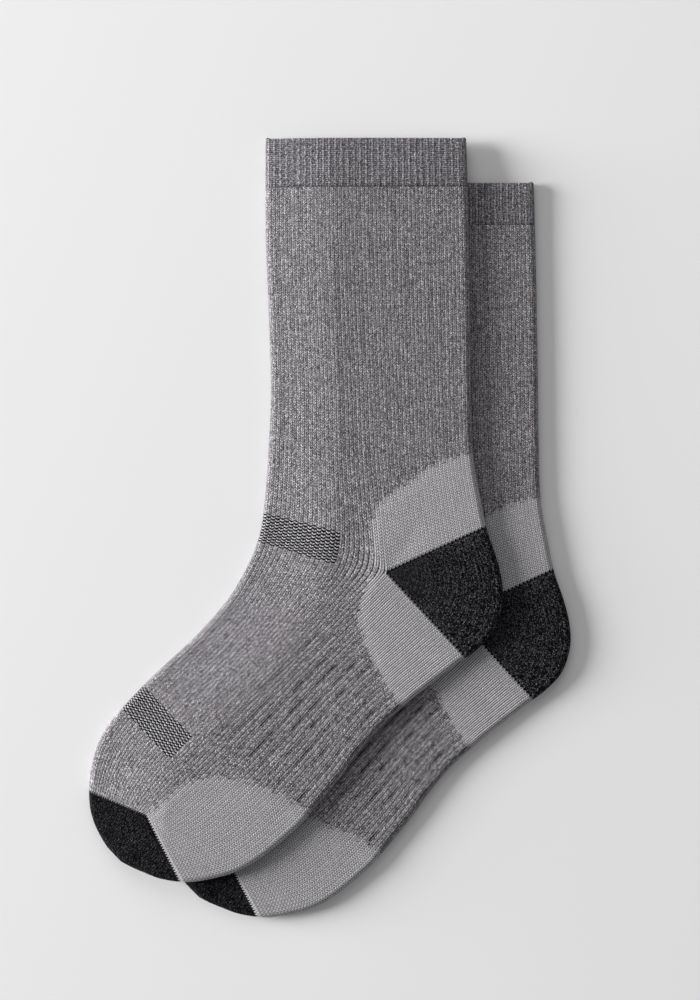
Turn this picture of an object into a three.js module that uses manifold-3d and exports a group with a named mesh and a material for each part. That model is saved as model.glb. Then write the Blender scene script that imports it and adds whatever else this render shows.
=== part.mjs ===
// A pair of crew socks laid flat, the upper one lying on the lower one and draping to the table beside it.
// Millimetres, +z up, table at z = 0, cuffs towards +y, heels towards +x, toes towards -x and -y.
// Each sock is a knitted tube pressed flat: a cuff, a leg and foot in one, a heel pocket and a toe cap.

import * as THREE from 'three';
import { mergeVertices } from 'three/addons/utils/BufferGeometryUtils.js';
import Module from 'manifold-3d';

const wasm = await Module();
wasm.setup();

// Cloth
const wall = 2.2; // thickness of the knitted wall
const hollow = 0.6; // space between the two walls of a flat sock
const thickness = 2 * wall + hollow;
const gap = 0.3; // between pieces at a seam, and between the upper and the lower sock
const ribDepth = 0.45; // how far a rib stands over the purl line beside it
const legRibs = 18; // ribs of two knit wales and one purl wale on one face of the leg and foot
const cuffRibs = 35; // ribs of one knit and one purl wale on one face of the cuff

// Centre line of a sock: a straight leg, a bend at the ankle, a straight foot
const legLength = 144.7;
const bendRadius = 155.5;

// Half widths of the flat sock, in front of and behind the centre line. `at` is the share of the
// stretch that is passed, `rib` the share of the full rib depth.
const sections = [
  { stretch: 'leg', at: 0.0, front: 46.4, back: 43.5, rib: 1 },
  { stretch: 'leg', at: 0.3, front: 46.3, back: 44.6, rib: 1 },
  { stretch: 'leg', at: 0.6, front: 44.7, back: 45.3, rib: 1 },
  { stretch: 'leg', at: 0.8, front: 44.0, back: 45.7, rib: 1 },
  { stretch: 'bend', at: 0.0, front: 45.3, back: 46.8, rib: 1 },
  { stretch: 'bend', at: 0.1, front: 45.6, back: 50.3, rib: 0 },
  { stretch: 'bend', at: 0.19, front: 45.4, back: 55.2, rib: 0 },
  { stretch: 'bend', at: 0.25, front: 45.0, back: 60.8, rib: 0 },
  { stretch: 'bend', at: 0.31, front: 44.5, back: 66.0, rib: 0 },
  { stretch: 'bend', at: 0.37, front: 44.0, back: 69.2, rib: 0 },
  { stretch: 'bend', at: 0.44, front: 43.9, back: 69.1, rib: 0 },
  { stretch: 'bend', at: 0.5, front: 43.8, back: 64.8, rib: 0 },
  { stretch: 'bend', at: 0.56, front: 44.0, back: 58.9, rib: 0 },
  { stretch: 'bend', at: 0.63, front: 44.1, back: 53.4, rib: 0 },
  { stretch: 'bend', at: 0.69, front: 44.1, back: 49.4, rib: 1 },
  { stretch: 'bend', at: 0.81, front: 44.5, back: 44.5, rib: 1 },
  { stretch: 'bend', at: 0.92, front: 44.8, back: 44.4, rib: 1 },
  { stretch: 'foot', at: 0.0, front: 44.7, back: 46.0, rib: 1 },
  { stretch: 'foot', at: 0.22, front: 45.3, back: 47.9, rib: 1 },
  { stretch: 'foot', at: 0.3, front: 45.5, back: 48.2, rib: 0 },
  { stretch: 'foot', at: 0.5, front: 44.8, back: 46.6, rib: 0 },
  { stretch: 'foot', at: 0.63, front: 43.0, back: 43.5, rib: 0 },
  { stretch: 'foot', at: 0.74, front: 38.7, back: 37.9, rib: 0 },
  { stretch: 'foot', at: 0.84, front: 32.1, back: 30.9, rib: 0 },
  { stretch: 'foot', at: 0.92, front: 24.2, back: 21.4, rib: 0 },
  { stretch: 'foot', at: 0.96, front: 18.0, back: 13.6, rib: 0 },
  { stretch: 'foot', at: 0.985, front: 11.5, back: 8.0, rib: 0 },
  { stretch: 'foot', at: 1.0, front: 5.0, back: 3.5, rib: 0 },
];

// Heel pocket: a wedge that opens to the back fold from a corner behind the centre line
const heel = { bendAt: 0.375, behind: 16, upperLine: 24.5, lowerLine: -47 };
// Toe cap: a wider wedge whose corner points up the foot
const toe = { footAt: 0.76, behind: -3, frontLine: -66, backLine: 72.5 };

// The two socks, each placed by the middle of its cuff's mouth. `gape` is how much more the mouth
// stands open than the hollow.
const socks = [
  { name: 'bottom', x: 48.1, y: 155.1, turn: 44.9, footLength: 90.6, cuffDepth: 19.7, gape: 0, colour: 0x656365 },
  { name: 'top', x: 17.6, y: 174.8, turn: 45.4, footLength: 94.7, cuffDepth: 22.8, gape: 1.2, colour: 0x7b787b },
];
const drapeWidth = 24; // strip over which the upper sock comes down from the lower one to the table

// Rows of the walls along a sock, and columns round it
const rows = { leg: 9, bend: 15, foot: 9, toe: 7, cuff: 5 };
const legPurlHalf = 0.17; // half of a purl line, as a share of one rib
const cuffPurlHalf = 0.5;
const plainColumns = 18;
const smoothing = 0.02; // largest change when flat stretches of a wall are given fewer triangles
const foldColumns = [0.003, 0.011]; // extra columns by each fold, as shares of the width
const toeStart = 0.74; // share of the foot where its toe begins to narrow
const lipLength = 1.6; // the cuff's lip is rounded over this length
const gapeLength = 14; // the mouth closes to the hollow over about this length

// Value of one named column between the sections, with smooth slopes
function column(name, stretch, at) {
  const order = { leg: 0, bend: 1, foot: 2 };
  const place = (section) => order[section.stretch] + section.at;
  const here = order[stretch] + at;
  let i = 0;
  while (i < sections.length - 2 && place(sections[i + 1]) <= here) {
    i += 1;
  }
  const before = sections[Math.max(i - 1, 0)];
  const a = sections[i];
  const b = sections[i + 1];
  const after = sections[Math.min(i + 2, sections.length - 1)];
  const span = place(b) - place(a);
  const t = THREE.MathUtils.clamp((here - place(a)) / span, 0, 1);
  const slopeA = (span * (b[name] - before[name])) / (place(b) - place(before));
  const slopeB = (span * (after[name] - a[name])) / (place(after) - place(a));
  const t2 = t * t;
  const t3 = t2 * t;
  return (2 * t3 - 3 * t2 + 1) * a[name] + (t3 - 2 * t2 + t) * slopeA
    + (3 * t2 - 2 * t3) * b[name] + (t3 - t2) * slopeB;
}

// Point of the centre line and the direction across the sock towards its back fold
function centreLine(sock, stretch, at) {
  const turn = THREE.MathUtils.degToRad(sock.turn);
  let angle = 0;
  let x = sock.x;
  let y = sock.y;
  if (stretch === 'leg') {
    y -= at * legLength;
  } else {
    angle = stretch === 'bend' ? at * turn : turn;
    x += bendRadius * (Math.cos(angle) - 1);
    y -= legLength + bendRadius * Math.sin(angle);
  }
  if (stretch === 'foot') {
    x -= at * sock.footLength * Math.sin(angle);
    y -= at * sock.footLength * Math.cos(angle);
  }
  return { x, y, acrossX: Math.cos(angle), acrossY: -Math.sin(angle) };
}

// Outline of a sock as points along its front fold and back along its back fold
function outline(sock) {
  const front = [];
  const back = [];
  for (const stretch of ['leg', 'bend', 'foot']) {
    const count = 2 * rows[stretch];
    for (let i = stretch === 'leg' ? 0 : 1; i <= count; i += 1) {
      const line = centreLine(sock, stretch, i / count);
      const a = column('front', stretch, i / count);
      const b = column('back', stretch, i / count);
      front.push(new THREE.Vector2(line.x - a * line.acrossX, line.y - a * line.acrossY));
      back.push(new THREE.Vector2(line.x + b * line.acrossX, line.y + b * line.acrossY));
    }
  }
  return front.concat(back.reverse());
}

// Distance from a point to a closed outline, negative inside
function distanceTo(polygon, x, y) {
  let nearest = Infinity;
  let inside = false;
  for (let i = 0; i < polygon.length; i += 1) {
    const a = polygon[i];
    const b = polygon[(i + 1) % polygon.length];
    const dx = b.x - a.x;
    const dy = b.y - a.y;
    const t = THREE.MathUtils.clamp(((x - a.x) * dx + (y - a.y) * dy) / (dx * dx + dy * dy), 0, 1);
    nearest = Math.min(nearest, Math.hypot(x - a.x - t * dx, y - a.y - t * dy));
    if (a.y > y !== b.y > y && x < a.x + ((y - a.y) * dx) / dy) {
      inside = !inside;
    }
  }
  return inside ? -nearest : nearest;
}

// Height of the surface that a sock lies on: the table, or the lower sock and the slope beside it
function makeGround(lowerOutline) {
  if (!lowerOutline) {
    return () => 0;
  }
  return (x, y) => {
    const away = distanceTo(lowerOutline, x, y) / drapeWidth;
    return (thickness + gap) * (1 - THREE.MathUtils.smoothstep(away, 0, 1));
  };
}

// Columns of a plain face, as pairs of a share of the width and a share of the groove's depth
const plain = [];
for (let i = 1; i < plainColumns; i += 1) {
  plain.push([i / plainColumns, 0]);
}
for (const share of foldColumns) {
  plain.push([share, 0], [1 - share, 0]);
}
plain.sort((a, b) => a[0] - b[0]);

// Columns of a ribbed face: a groove at each purl line, and a crest on both sides of it
function ribColumns({ ribs, purlHalf }) {
  const columns = foldColumns.filter((share) => share < (0.5 - purlHalf) / ribs || purlHalf === 0.5)
    .flatMap((share) => [[share, 0], [1 - share, 0]]);
  for (let i = 0; i < ribs; i += 1) {
    columns.push([(i + 0.5) / ribs, 1]);
    if (purlHalf < 0.5) {
      columns.push([(i + 0.5 - purlHalf) / ribs, 0], [(i + 0.5 + purlHalf) / ribs, 0]);
    } else if (i > 0) {
      columns.push([i / ribs, 0]);
    }
  }
  return columns.sort((a, b) => a[0] - b[0]);
}

// One ring of a flat tube. Columns are shares of the width. The folds are rounded, the purl lines
// are grooves in the upper face, and the lower face is plain.
function ring(sock, ground, station, shape) {
  const { stretch, at } = station;
  const line = centreLine(sock, stretch, at);
  const front = column('front', stretch, at) - shape.inset;
  const back = column('back', stretch, at) - shape.inset;
  const width = front + back;
  const half = (shape.high - shape.low) / 2;
  const middle = (shape.high + shape.low) / 2;
  const foldRadius = Math.min(thickness / 2, width / 2);
  const depth = shape.ribs > 0 ? ribDepth * THREE.MathUtils.clamp(column('rib', stretch, at), 0, 1) : 0;
  const point = (share, side, groove) => {
    const across = -front + share * width;
    const inFromFold = Math.min(share, 1 - share) * width;
    const toFold = Math.max(0, 1 - inFromFold / foldRadius);
    const swell = Math.sqrt(1 - toFold * toFold);
    const x = line.x + across * line.acrossX;
    const y = line.y + across * line.acrossY;
    const z = ground(x, y) + middle + side * half * swell - groove * depth * swell;
    return new THREE.Vector3(x, y, z);
  };
  const upper = shape.ribs > 0 ? ribColumns(shape) : plain;
  const points = [point(0, 0, 0)];
  for (const [share, groove] of upper) {
    points.push(point(share, 1, groove));
  }
  points.push(point(1, 0, 0));
  for (const [share] of [...plain].reverse()) {
    points.push(point(share, -1, 0));
  }
  return points;
}

// Closes an end of a loft with a strip of triangles between the upper and the lower face of its ring
function closeEnd(points, first, triangles, atStart) {
  const along = points.map((p) => Math.hypot(p.x - points[0].x, p.y - points[0].y));
  const farFold = along.indexOf(Math.max(...along));
  let up = 0;
  let down = points.length;
  while (up < farFold || down > farFold) {
    const stepUp = down === farFold || (up < farFold && along[up + 1] < along[down - 1]);
    const next = stepUp ? up + 1 : down - 1;
    const corners = [up, next, down].map((i) => first + (i % points.length));
    if (new Set(corners).size === 3) {
      triangles.push(...(atStart ? corners : corners.reverse()));
    }
    if (stepUp) {
      up = next;
    } else {
      down = next;
    }
  }
}

// A closed body through rings, with its two ends closed flat
function loft(rings) {
  const size = rings[0].length;
  const positions = [];
  const triangles = [];
  for (const points of rings) {
    for (const p of points) {
      positions.push(p.x, p.y, p.z);
    }
  }
  for (let i = 0; i < rings.length - 1; i += 1) {
    for (let j = 0; j < size; j += 1) {
      const a = i * size + j;
      const b = i * size + ((j + 1) % size);
      triangles.push(a, a + size, b, b, a + size, b + size);
    }
  }
  closeEnd(rings[0], 0, triangles, true);
  closeEnd(rings[rings.length - 1], (rings.length - 1) * size, triangles, false);
  return { positions, triangles };
}

function toSolid({ positions, triangles }) {
  return new wasm.Manifold(new wasm.Mesh({
    numProp: 3,
    vertProperties: new Float32Array(positions),
    triVerts: new Uint32Array(triangles),
  }));
}

// Rows of a stretch, evenly spaced between two shares of it
function stations(stretch, from, to, count) {
  const list = [];
  for (let i = 0; i <= count; i += 1) {
    list.push({ stretch, at: from + ((to - from) * i) / count });
  }
  return list;
}

// Rows of the rounded toe, closer together towards its tip
function toeStations() {
  const list = [];
  for (let i = 1; i <= rows.toe; i += 1) {
    const left = 1 - i / rows.toe;
    list.push({ stretch: 'foot', at: 1 - (1 - toeStart) * left * left });
  }
  return list;
}

// The flat tube of a sock from one place to its toe: the outer body less the hollow
function flatTube(sock, ground, list, relief, atMouth) {
  const outer = list.map((station) => {
    const fromMouth = station.stretch === 'leg' ? station.at * legLength : Infinity;
    const toTip = station.stretch === 'foot' ? (1 - station.at) * sock.footLength : Infinity;
    const lip = atMouth ? Math.sqrt(Math.min(1, 0.55 + 0.45 * (fromMouth / lipLength))) : 1;
    const tip = Math.sqrt(Math.min(1, 0.2 + toTip / (thickness / 2)));
    const gape = atMouth ? sock.gape * Math.exp(-fromMouth / gapeLength) : 0;
    const cut = (thickness / 2) * (1 - lip * tip);
    return ring(sock, ground, station, { inset: 0, low: cut, high: thickness + gape - cut, ...relief });
  });
  const innerList = list.filter((station) => !(station.stretch === 'foot' && station.at > 0.96));
  const inner = innerList.map((station) => {
    const fromMouth = station.stretch === 'leg' ? station.at * legLength : Infinity;
    const gape = atMouth ? sock.gape * Math.exp(-fromMouth / gapeLength) : 0;
    return ring(sock, ground, station, { inset: wall, low: wall, high: wall + hollow + gape, ribs: 0 });
  });
  return toSolid(loft(outer)).subtract(toSolid(loft(extended(inner, list))));
}

// The hollow runs on past the ends of the tube that are open, so that it cuts them open
function extended(rings, list) {
  const past = (near, next) => near.map((p, i) => p.clone().add(p).sub(next[i]));
  const result = [past(rings[0], rings[1]), ...rings];
  if (rings.length === list.length) {
    result.push(past(rings[rings.length - 1], rings[rings.length - 2]));
  }
  return result;
}

// A tall prism over a wedge with its corner at a point, opening between two directions in degrees,
// grown outwards on its two lines by `grow`
function wedge(corner, fromAngle, toAngle, grow) {
  const reach = 160;
  const direction = (degrees) => new THREE.Vector2(
    Math.cos(THREE.MathUtils.degToRad(degrees)),
    Math.sin(THREE.MathUtils.degToRad(degrees)),
  );
  const halfAngle = THREE.MathUtils.degToRad((toAngle - fromAngle) / 2);
  const middle = direction((fromAngle + toAngle) / 2);
  const start = corner.clone().addScaledVector(middle, -grow / Math.sin(halfAngle));
  const shape = new THREE.Shape([
    start,
    start.clone().addScaledVector(direction(fromAngle), reach),
    start.clone().addScaledVector(middle, reach),
    start.clone().addScaledVector(direction(toAngle), reach),
  ]);
  const geometry = new THREE.ExtrudeGeometry(shape, { depth: 60, bevelEnabled: false });
  geometry.translate(0, 0, -20);
  geometry.deleteAttribute('normal');
  geometry.deleteAttribute('uv');
  const merged = mergeVertices(geometry, 1e-4);
  return toSolid({ positions: merged.attributes.position.array, triangles: merged.index.array });
}

function heelWedge(sock, grow) {
  const line = centreLine(sock, 'bend', heel.bendAt);
  const corner = new THREE.Vector2(
    line.x + heel.behind * line.acrossX,
    line.y + heel.behind * line.acrossY,
  );
  return wedge(corner, heel.lowerLine, heel.upperLine, grow);
}

function toeWedge(sock, grow) {
  const line = centreLine(sock, 'foot', toe.footAt);
  const corner = new THREE.Vector2(line.x + toe.behind * line.acrossX, line.y + toe.behind * line.acrossY);
  const footDirection = 270 - sock.turn;
  return wedge(corner, footDirection + toe.frontLine, footDirection + toe.backLine, grow);
}

function mesh(name, solid, colour) {
  const data = solid.asOriginal().simplify(smoothing).getMesh();
  const geometry = new THREE.BufferGeometry();
  geometry.setAttribute('position', new THREE.BufferAttribute(data.vertProperties, 3));
  geometry.setIndex(new THREE.BufferAttribute(data.triVerts, 1));
  geometry.computeVertexNormals();
  const material = new THREE.MeshStandardMaterial({ color: colour, roughness: 0.95, metalness: 0 });
  const result = new THREE.Mesh(geometry, material);
  result.name = name;
  return result;
}

const charcoal = 0x242426;
const cuffColour = 0x716f72;

function makeSock(sock, lowerOutline) {
  const ground = makeGround(lowerOutline);
  const seam = sock.cuffDepth / legLength;
  const seamHalf = gap / 2 / legLength;
  const cuffList = [
    { stretch: 'leg', at: 0 },
    ...stations('leg', lipLength / legLength, seam - seamHalf, rows.cuff),
  ];
  const bodyList = [
    ...stations('leg', seam + seamHalf, 1, rows.leg),
    ...stations('bend', 0, 1, rows.bend).slice(1),
    ...stations('foot', 0, toeStart, rows.foot).slice(1),
    ...toeStations(),
  ];
  const cuff = flatTube(sock, ground, cuffList, { ribs: cuffRibs, purlHalf: cuffPurlHalf }, true);
  const tube = flatTube(sock, ground, bodyList, { ribs: legRibs, purlHalf: legPurlHalf }, false);
  const body = tube.subtract(heelWedge(sock, gap / 2)).subtract(toeWedge(sock, gap / 2));
  const heelPocket = tube.intersect(heelWedge(sock, -gap / 2));
  const toeCap = tube.intersect(toeWedge(sock, -gap / 2));
  const group = new THREE.Group();
  group.add(mesh(`${sock.name}_cuff`, cuff, cuffColour));
  group.add(mesh(`${sock.name}_leg_foot`, body, sock.colour));
  group.add(mesh(`${sock.name}_heel`, heelPocket, charcoal));
  group.add(mesh(`${sock.name}_toe`, toeCap, charcoal));
  return group;
}

const group = new THREE.Group();
group.add(makeSock(socks[0], null));
group.add(makeSock(socks[1], outline(socks[0])));

export default group;
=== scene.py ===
import functools
import math

import bmesh
import bpy
import numpy as np
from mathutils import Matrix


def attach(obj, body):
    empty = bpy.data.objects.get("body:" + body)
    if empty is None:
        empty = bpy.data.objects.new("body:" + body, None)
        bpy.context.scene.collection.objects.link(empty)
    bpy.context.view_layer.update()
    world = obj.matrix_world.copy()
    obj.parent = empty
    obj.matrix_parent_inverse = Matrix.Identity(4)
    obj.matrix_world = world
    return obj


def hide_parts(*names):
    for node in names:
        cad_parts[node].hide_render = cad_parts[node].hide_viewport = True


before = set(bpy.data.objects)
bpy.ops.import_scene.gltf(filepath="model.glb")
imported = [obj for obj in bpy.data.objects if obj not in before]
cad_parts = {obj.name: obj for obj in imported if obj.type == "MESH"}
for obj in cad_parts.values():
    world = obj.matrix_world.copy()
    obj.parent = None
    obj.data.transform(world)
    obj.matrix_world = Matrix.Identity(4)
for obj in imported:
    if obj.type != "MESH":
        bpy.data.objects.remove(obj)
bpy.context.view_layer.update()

# A pair of crew socks laid flat, the upper one partly on the lower one. Cuffs lie towards +Y, heels
# towards +X and toes towards -X and -Y. Values are in millimetres, degrees and stitches.
# Meshes are in metres.

mm = 0.001

# What both socks are knitted to
cloth = {
    "wall": 2.2,  # one knitted wall with the terry inside it
    "hollow": 0.6,  # what is left between the two walls of a flat sock
    "hollowEnd": 1.5,  # the hollow closes over this strip beside a fold
    "gap": 0.3,  # between the lower and the upper sock
    "clearance": 0.1,  # what the lower sock's relief leaves of that gap
    "beside": 3,  # under the upper sock and over this strip beside it
    "wales": 54,  # columns of stitches across one face
    "course": 1.1,  # height of one row of stitches
    "drape": 36,  # strip over which the upper sock comes down to the table
    "foldReach": 8,  # the inside of the wall is drawn in over this strip beside a fold
    "foldPinch": 0.3,  # and the hollow is this share narrower at the fold
    "edge": 0.03,  # points this near the outline are on the fold, where both faces meet
    "offFold": 0.002,  # other points of a cuff or a toe keep at least this far from it
    "join": 0.002,  # points this near each other become one
    "sliver": 0.0001,  # and shorter edges are taken out
}
thickness = 2 * cloth["wall"] + cloth["hollow"]  # of a flat sock
half = cloth["wales"] / 2  # the wale in the middle of a face

# Each sock is placed by the middle of its cuff's mouth. `turn` is its bend at the ankle, `foot` the
# straight part of the foot and `gape` how far the mouth stands open. `seed` is for uneven ribs.
socks = {
    "bottom": {"x": 48.1, "y": 155.1, "turn": 44.9, "foot": 90.6, "cuff": 19.7, "gape": 0.0, "seed": 11},
    "top": {"x": 17.6, "y": 174.8, "turn": 45.4, "foot": 94.7, "cuff": 22.8, "gape": 1.2, "seed": 4},
}

# Centre line: a straight leg, a bend at the ankle, a straight foot
legLength = 144.7
bendRadius = 155.5

# Half widths in front of and behind the centre line. `place` runs 0 to 1 down the leg, 1 to 2 round
# the bend and 2 to 3 along the foot.
widthNames = ("place", "front", "back")
widthRows = [
    (0.0, 46.4, 43.5), (0.3, 46.3, 44.6), (0.6, 44.7, 45.3), (0.8, 44.0, 45.7),
    (1.0, 45.3, 46.8), (1.1, 45.6, 50.3), (1.19, 45.4, 55.2), (1.25, 45.0, 60.8),
    (1.31, 44.5, 66.0), (1.37, 44.0, 69.2), (1.44, 43.9, 69.1), (1.5, 43.8, 64.8),
    (1.56, 44.0, 58.9), (1.63, 44.1, 53.4), (1.69, 44.1, 49.4), (1.81, 44.5, 44.5),
    (1.92, 44.8, 44.4), (2.0, 44.7, 46.0), (2.22, 45.3, 47.9), (2.3, 45.5, 48.2),
    (2.5, 44.8, 46.6), (2.63, 43.0, 43.5), (2.74, 38.7, 37.9), (2.84, 32.1, 30.9),
    (2.92, 24.2, 21.4), (2.96, 18.0, 13.6), (2.985, 11.5, 8.0), (3.0, 5.0, 3.5),
]
widths = dict(zip(widthNames, np.array(widthRows).T))


def halfWidth(name, place):
    # Cubic pieces through one column of the table, each slope that of the line past both neighbours
    x, y = widths["place"], widths[name]
    after = np.minimum(np.arange(len(x)) + 1, len(x) - 1)
    before = np.maximum(np.arange(len(x)) - 1, 0)
    slope = (y[after] - y[before]) / (x[after] - x[before])
    place = np.asarray(place, float)
    i = np.clip(np.searchsorted(x, place, side="right") - 1, 0, len(x) - 2)
    span = x[i + 1] - x[i]
    t = np.clip((place - x[i]) / span, 0, 1)
    start = (2 * t**3 - 3 * t**2 + 1) * y[i] + (t**3 - 2 * t**2 + t) * span * slope[i]
    end = (3 * t**2 - 2 * t**3) * y[i + 1] + (t**3 - t**2) * span * slope[i + 1]
    return start + end


def centreLine(sock, place):
    # Straight down the leg, round the ankle on a circle, straight along the foot, with the unit
    # vector across the sock towards its back fold
    place = np.asarray(place, float)
    angle = np.clip(place - 1, 0, 1) * math.radians(sock["turn"])
    down = np.clip(place, 0, 1) * legLength
    along = np.clip(place - 2, 0, 1) * sock["foot"]
    x = sock["x"] + bendRadius * (np.cos(angle) - 1) - along * np.sin(angle)
    y = sock["y"] - down - bendRadius * np.sin(angle) - along * np.cos(angle)
    return np.stack([x, y], -1), np.stack([np.cos(angle), -np.sin(angle)], -1)


def foldLine(sock, side, place):
    # Centre line less the front half width, or plus the back half width
    centre, across = centreLine(sock, place)
    reach = halfWidth(side, place)[..., None]
    return centre + across * (reach if side == "back" else -reach)


outlinePoints = (20, 60, 120)  # of a fold down the leg, round the bend and along the foot


def outline(sock):
    # Down the front fold and back up the back fold, anticlockwise
    parts = [np.linspace(i, i + 1, count)[1:] for i, count in enumerate(outlinePoints)]
    place = np.concatenate([[0.0], *parts])
    return np.concatenate([foldLine(sock, "front", place), foldLine(sock, "back", place[::-1])])


def measure(polygon, points):
    # Depth of each point inside a closed outline: the distance to its nearest side, negative
    # outside, with the outward direction of that side. Done in blocks to keep the arrays small.
    a = polygon
    side = np.roll(polygon, -1, 0) - a
    length = np.maximum((side**2).sum(-1), 1e-9)
    outward = np.stack([side[:, 1], -side[:, 0]], -1) / np.sqrt(length)[:, None]
    rise = np.where(np.abs(side[:, 1]) < 1e-9, 1e-9, side[:, 1])
    flat = points.reshape(-1, 2)
    depth = np.empty(len(flat))
    away = np.empty((len(flat), 2))
    block = 6000
    for start in range(0, len(flat), block):
        p = flat[start:start + block, None]
        share = np.clip(((p - a) * side).sum(-1) / length, 0, 1)
        distance = ((p - a - share[..., None] * side)**2).sum(-1)
        nearest = distance.argmin(1)
        above = (a[:, 1] > p[..., 1]) != (np.roll(a, -1, 0)[:, 1] > p[..., 1])
        hits = above & (p[..., 0] < a[:, 0] + (p[..., 1] - a[:, 1]) * side[:, 0] / rise)
        sign = np.where(hits.sum(1) % 2 == 1, 1, -1)
        depth[start:start + block] = sign * np.sqrt(distance.min(1))
        away[start:start + block] = outward[nearest]
    return depth.reshape(points.shape[:-1]), away.reshape(points.shape)


def smoothStep(low, high, value):
    # 0 below low, 1 above high, 3t² - 2t³ between
    t = np.clip((value - low) / (high - low), 0, 1)
    return t * t * (3 - 2 * t)


def direction(degrees):
    # Unit vector at an angle from +X
    return np.array([math.cos(math.radians(degrees)), math.sin(math.radians(degrees))])


# Where the pieces meet: the heel opens to the back fold from a corner behind the centre line, and
# the toe is a wider wedge whose corner points up the foot. `ankle` is where the front fold turns.
seams = {
    "heelAt": 1.375, "heelBehind": 16, "heelUpper": 24.5, "heelLower": -47,
    "toeAt": 2.76, "toeBehind": -3, "toeFront": -66, "toeBack": 72.5,
    "ankle": 1.38,
}
samples = {"crossing": 3000, "fold": 1200, "toeEdge": 400}  # points at which a fold is looked up


def crossing(sock, side, corner, degrees, low, high):
    # Place where a fold crosses the ray from a corner, between two places: the sign change of the
    # distance to its line
    place = np.linspace(low, high, samples["crossing"])
    x, y = (foldLine(sock, side, place) - corner).T
    dx, dy = direction(degrees)
    off = x * dy - y * dx
    i = np.flatnonzero((np.sign(off[1:]) != np.sign(off[:-1])) & ((x * dx + y * dy)[1:] > 0))[0]
    return place[i] + (place[i + 1] - place[i]) * off[i] / (off[i] - off[i + 1])


def landmarks(sock):
    # Corners of the heel and the toe, and the places of the folds where their seams end
    line, across = centreLine(sock, seams["heelAt"])
    gore = line + seams["heelBehind"] * across
    line, across = centreLine(sock, seams["toeAt"])
    tip = line + seams["toeBehind"] * across
    footway = 270 - sock["turn"]
    start = centreLine(sock, 2.0)[0]
    return {
        "gore": gore,
        "tip": tip,
        "start": start,
        "footway": direction(footway),
        "across": direction(footway + 90),
        "heelTop": crossing(sock, "back", gore, seams["heelUpper"], 1.0, 1.4),
        "heelEnd": crossing(sock, "back", gore, seams["heelLower"], 1.35, 1.8),
        "toeFront": crossing(sock, "front", tip, footway + seams["toeFront"], 2.6, 3.0),
        "toeBack": crossing(sock, "back", tip, footway + seams["toeBack"], 2.6, 3.0),
    }


def foldAt(sock, side, wanted, way, origin, low, high):
    # Points of a fold, between two places, whose distances from an origin in one direction are given
    place = np.linspace(low, high, samples["fold"])
    distance = (foldLine(sock, side, place) - origin) @ way
    return foldLine(sock, side, np.interp(wanted, distance, place))


def legReach(sock):
    # From the mouth down to where the front fold turns
    return sock["y"] - foldLine(sock, "front", seams["ankle"])[1]


def legRows(sock, marks, share):
    # Rows between the mouth and the ankle. They start level and sag to the gore corner with the
    # fourth power of the share passed, so that the last one is the line ankle, corner, heel seam.
    origin = np.array([sock["x"], sock["y"]])
    down = np.array([0.0, -1.0])
    heelTop = foldLine(sock, "back", marks["heelTop"])
    reach = legReach(sock)
    bend = share**4
    front = foldAt(sock, "front", reach * share, down, origin, 0, 1.6)
    backReach = reach * share + ((heelTop - origin) @ down - reach) * bend
    back = foldAt(sock, "back", backReach, down, origin, 0, 1.4)
    middle = np.empty_like(front)
    middle[:, 0] = (1 - bend) * (front[:, 0] + back[:, 0]) / 2 + bend * marks["gore"][0]
    middle[:, 1] = sock["y"] - reach * share - ((marks["gore"] - origin) @ down - reach) * bend
    return front, middle, back


def footRows(sock, marks, share):
    # Rows from the ankle line and the lower heel seam to the toe seam. The middle wale is straight.
    # Each fold runs ahead of it by a lead that fades from the heel and grows again at the toe.
    way, origin = marks["footway"], marks["start"]
    heel = (marks["gore"] - origin) @ way
    toe = (marks["tip"] - origin) @ way
    along = heel + (toe - heel) * share
    middle = marks["gore"] + (marks["tip"] - marks["gore"]) * share[:, None]
    folds = {}
    for side, first, last in (("front", seams["ankle"], marks["toeFront"]),
                              ("back", marks["heelEnd"], marks["toeBack"])):
        lead = (foldLine(sock, side, first) - origin) @ way - heel
        end = (foldLine(sock, side, last) - origin) @ way - toe
        wanted = along + lead * (1 - share)**1.5 + end * share**4
        folds[side] = foldAt(sock, side, wanted, way, origin, first - 0.05, 3.0)
    return folds["front"], middle, folds["back"]


def halfRow(fold, middle, share):
    # From a fold to the middle of a face with an even pitch on the surface, so that the first
    # stitches climb the quarter circle of the fold: x = r(1 - cos(arc/r)), then straight on
    radius = thickness / 2
    width = np.linalg.norm(middle - fold, axis=-1)[:, None]
    arc = share * (width + radius * (math.pi / 2 - 1))
    curved = radius * (1 - np.cos(np.minimum(arc / radius, math.pi / 2)))
    reach = np.where(arc < radius * math.pi / 2, curved, arc - radius * (math.pi / 2 - 1))
    return fold[:, None] + (middle - fold)[:, None] * (reach / width)[..., None]


def faceRows(front, middle, back, wales):
    # Wale 0 is the front fold, 27 the middle line and 54 the back fold
    left = halfRow(front, middle, np.minimum(wales / half, 1))
    right = halfRow(back, middle, np.minimum(2 - wales / half, 1))
    return np.where((wales <= half)[:, None], left, right)


# How the wales are eased in front of the gore corner: over these wales and rows, in these passes
ankleEase = {"passes": 60, "share": 0.25, "wales": 12, "foldWales": 4, "rows": 12, "fadeRows": 10}


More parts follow.
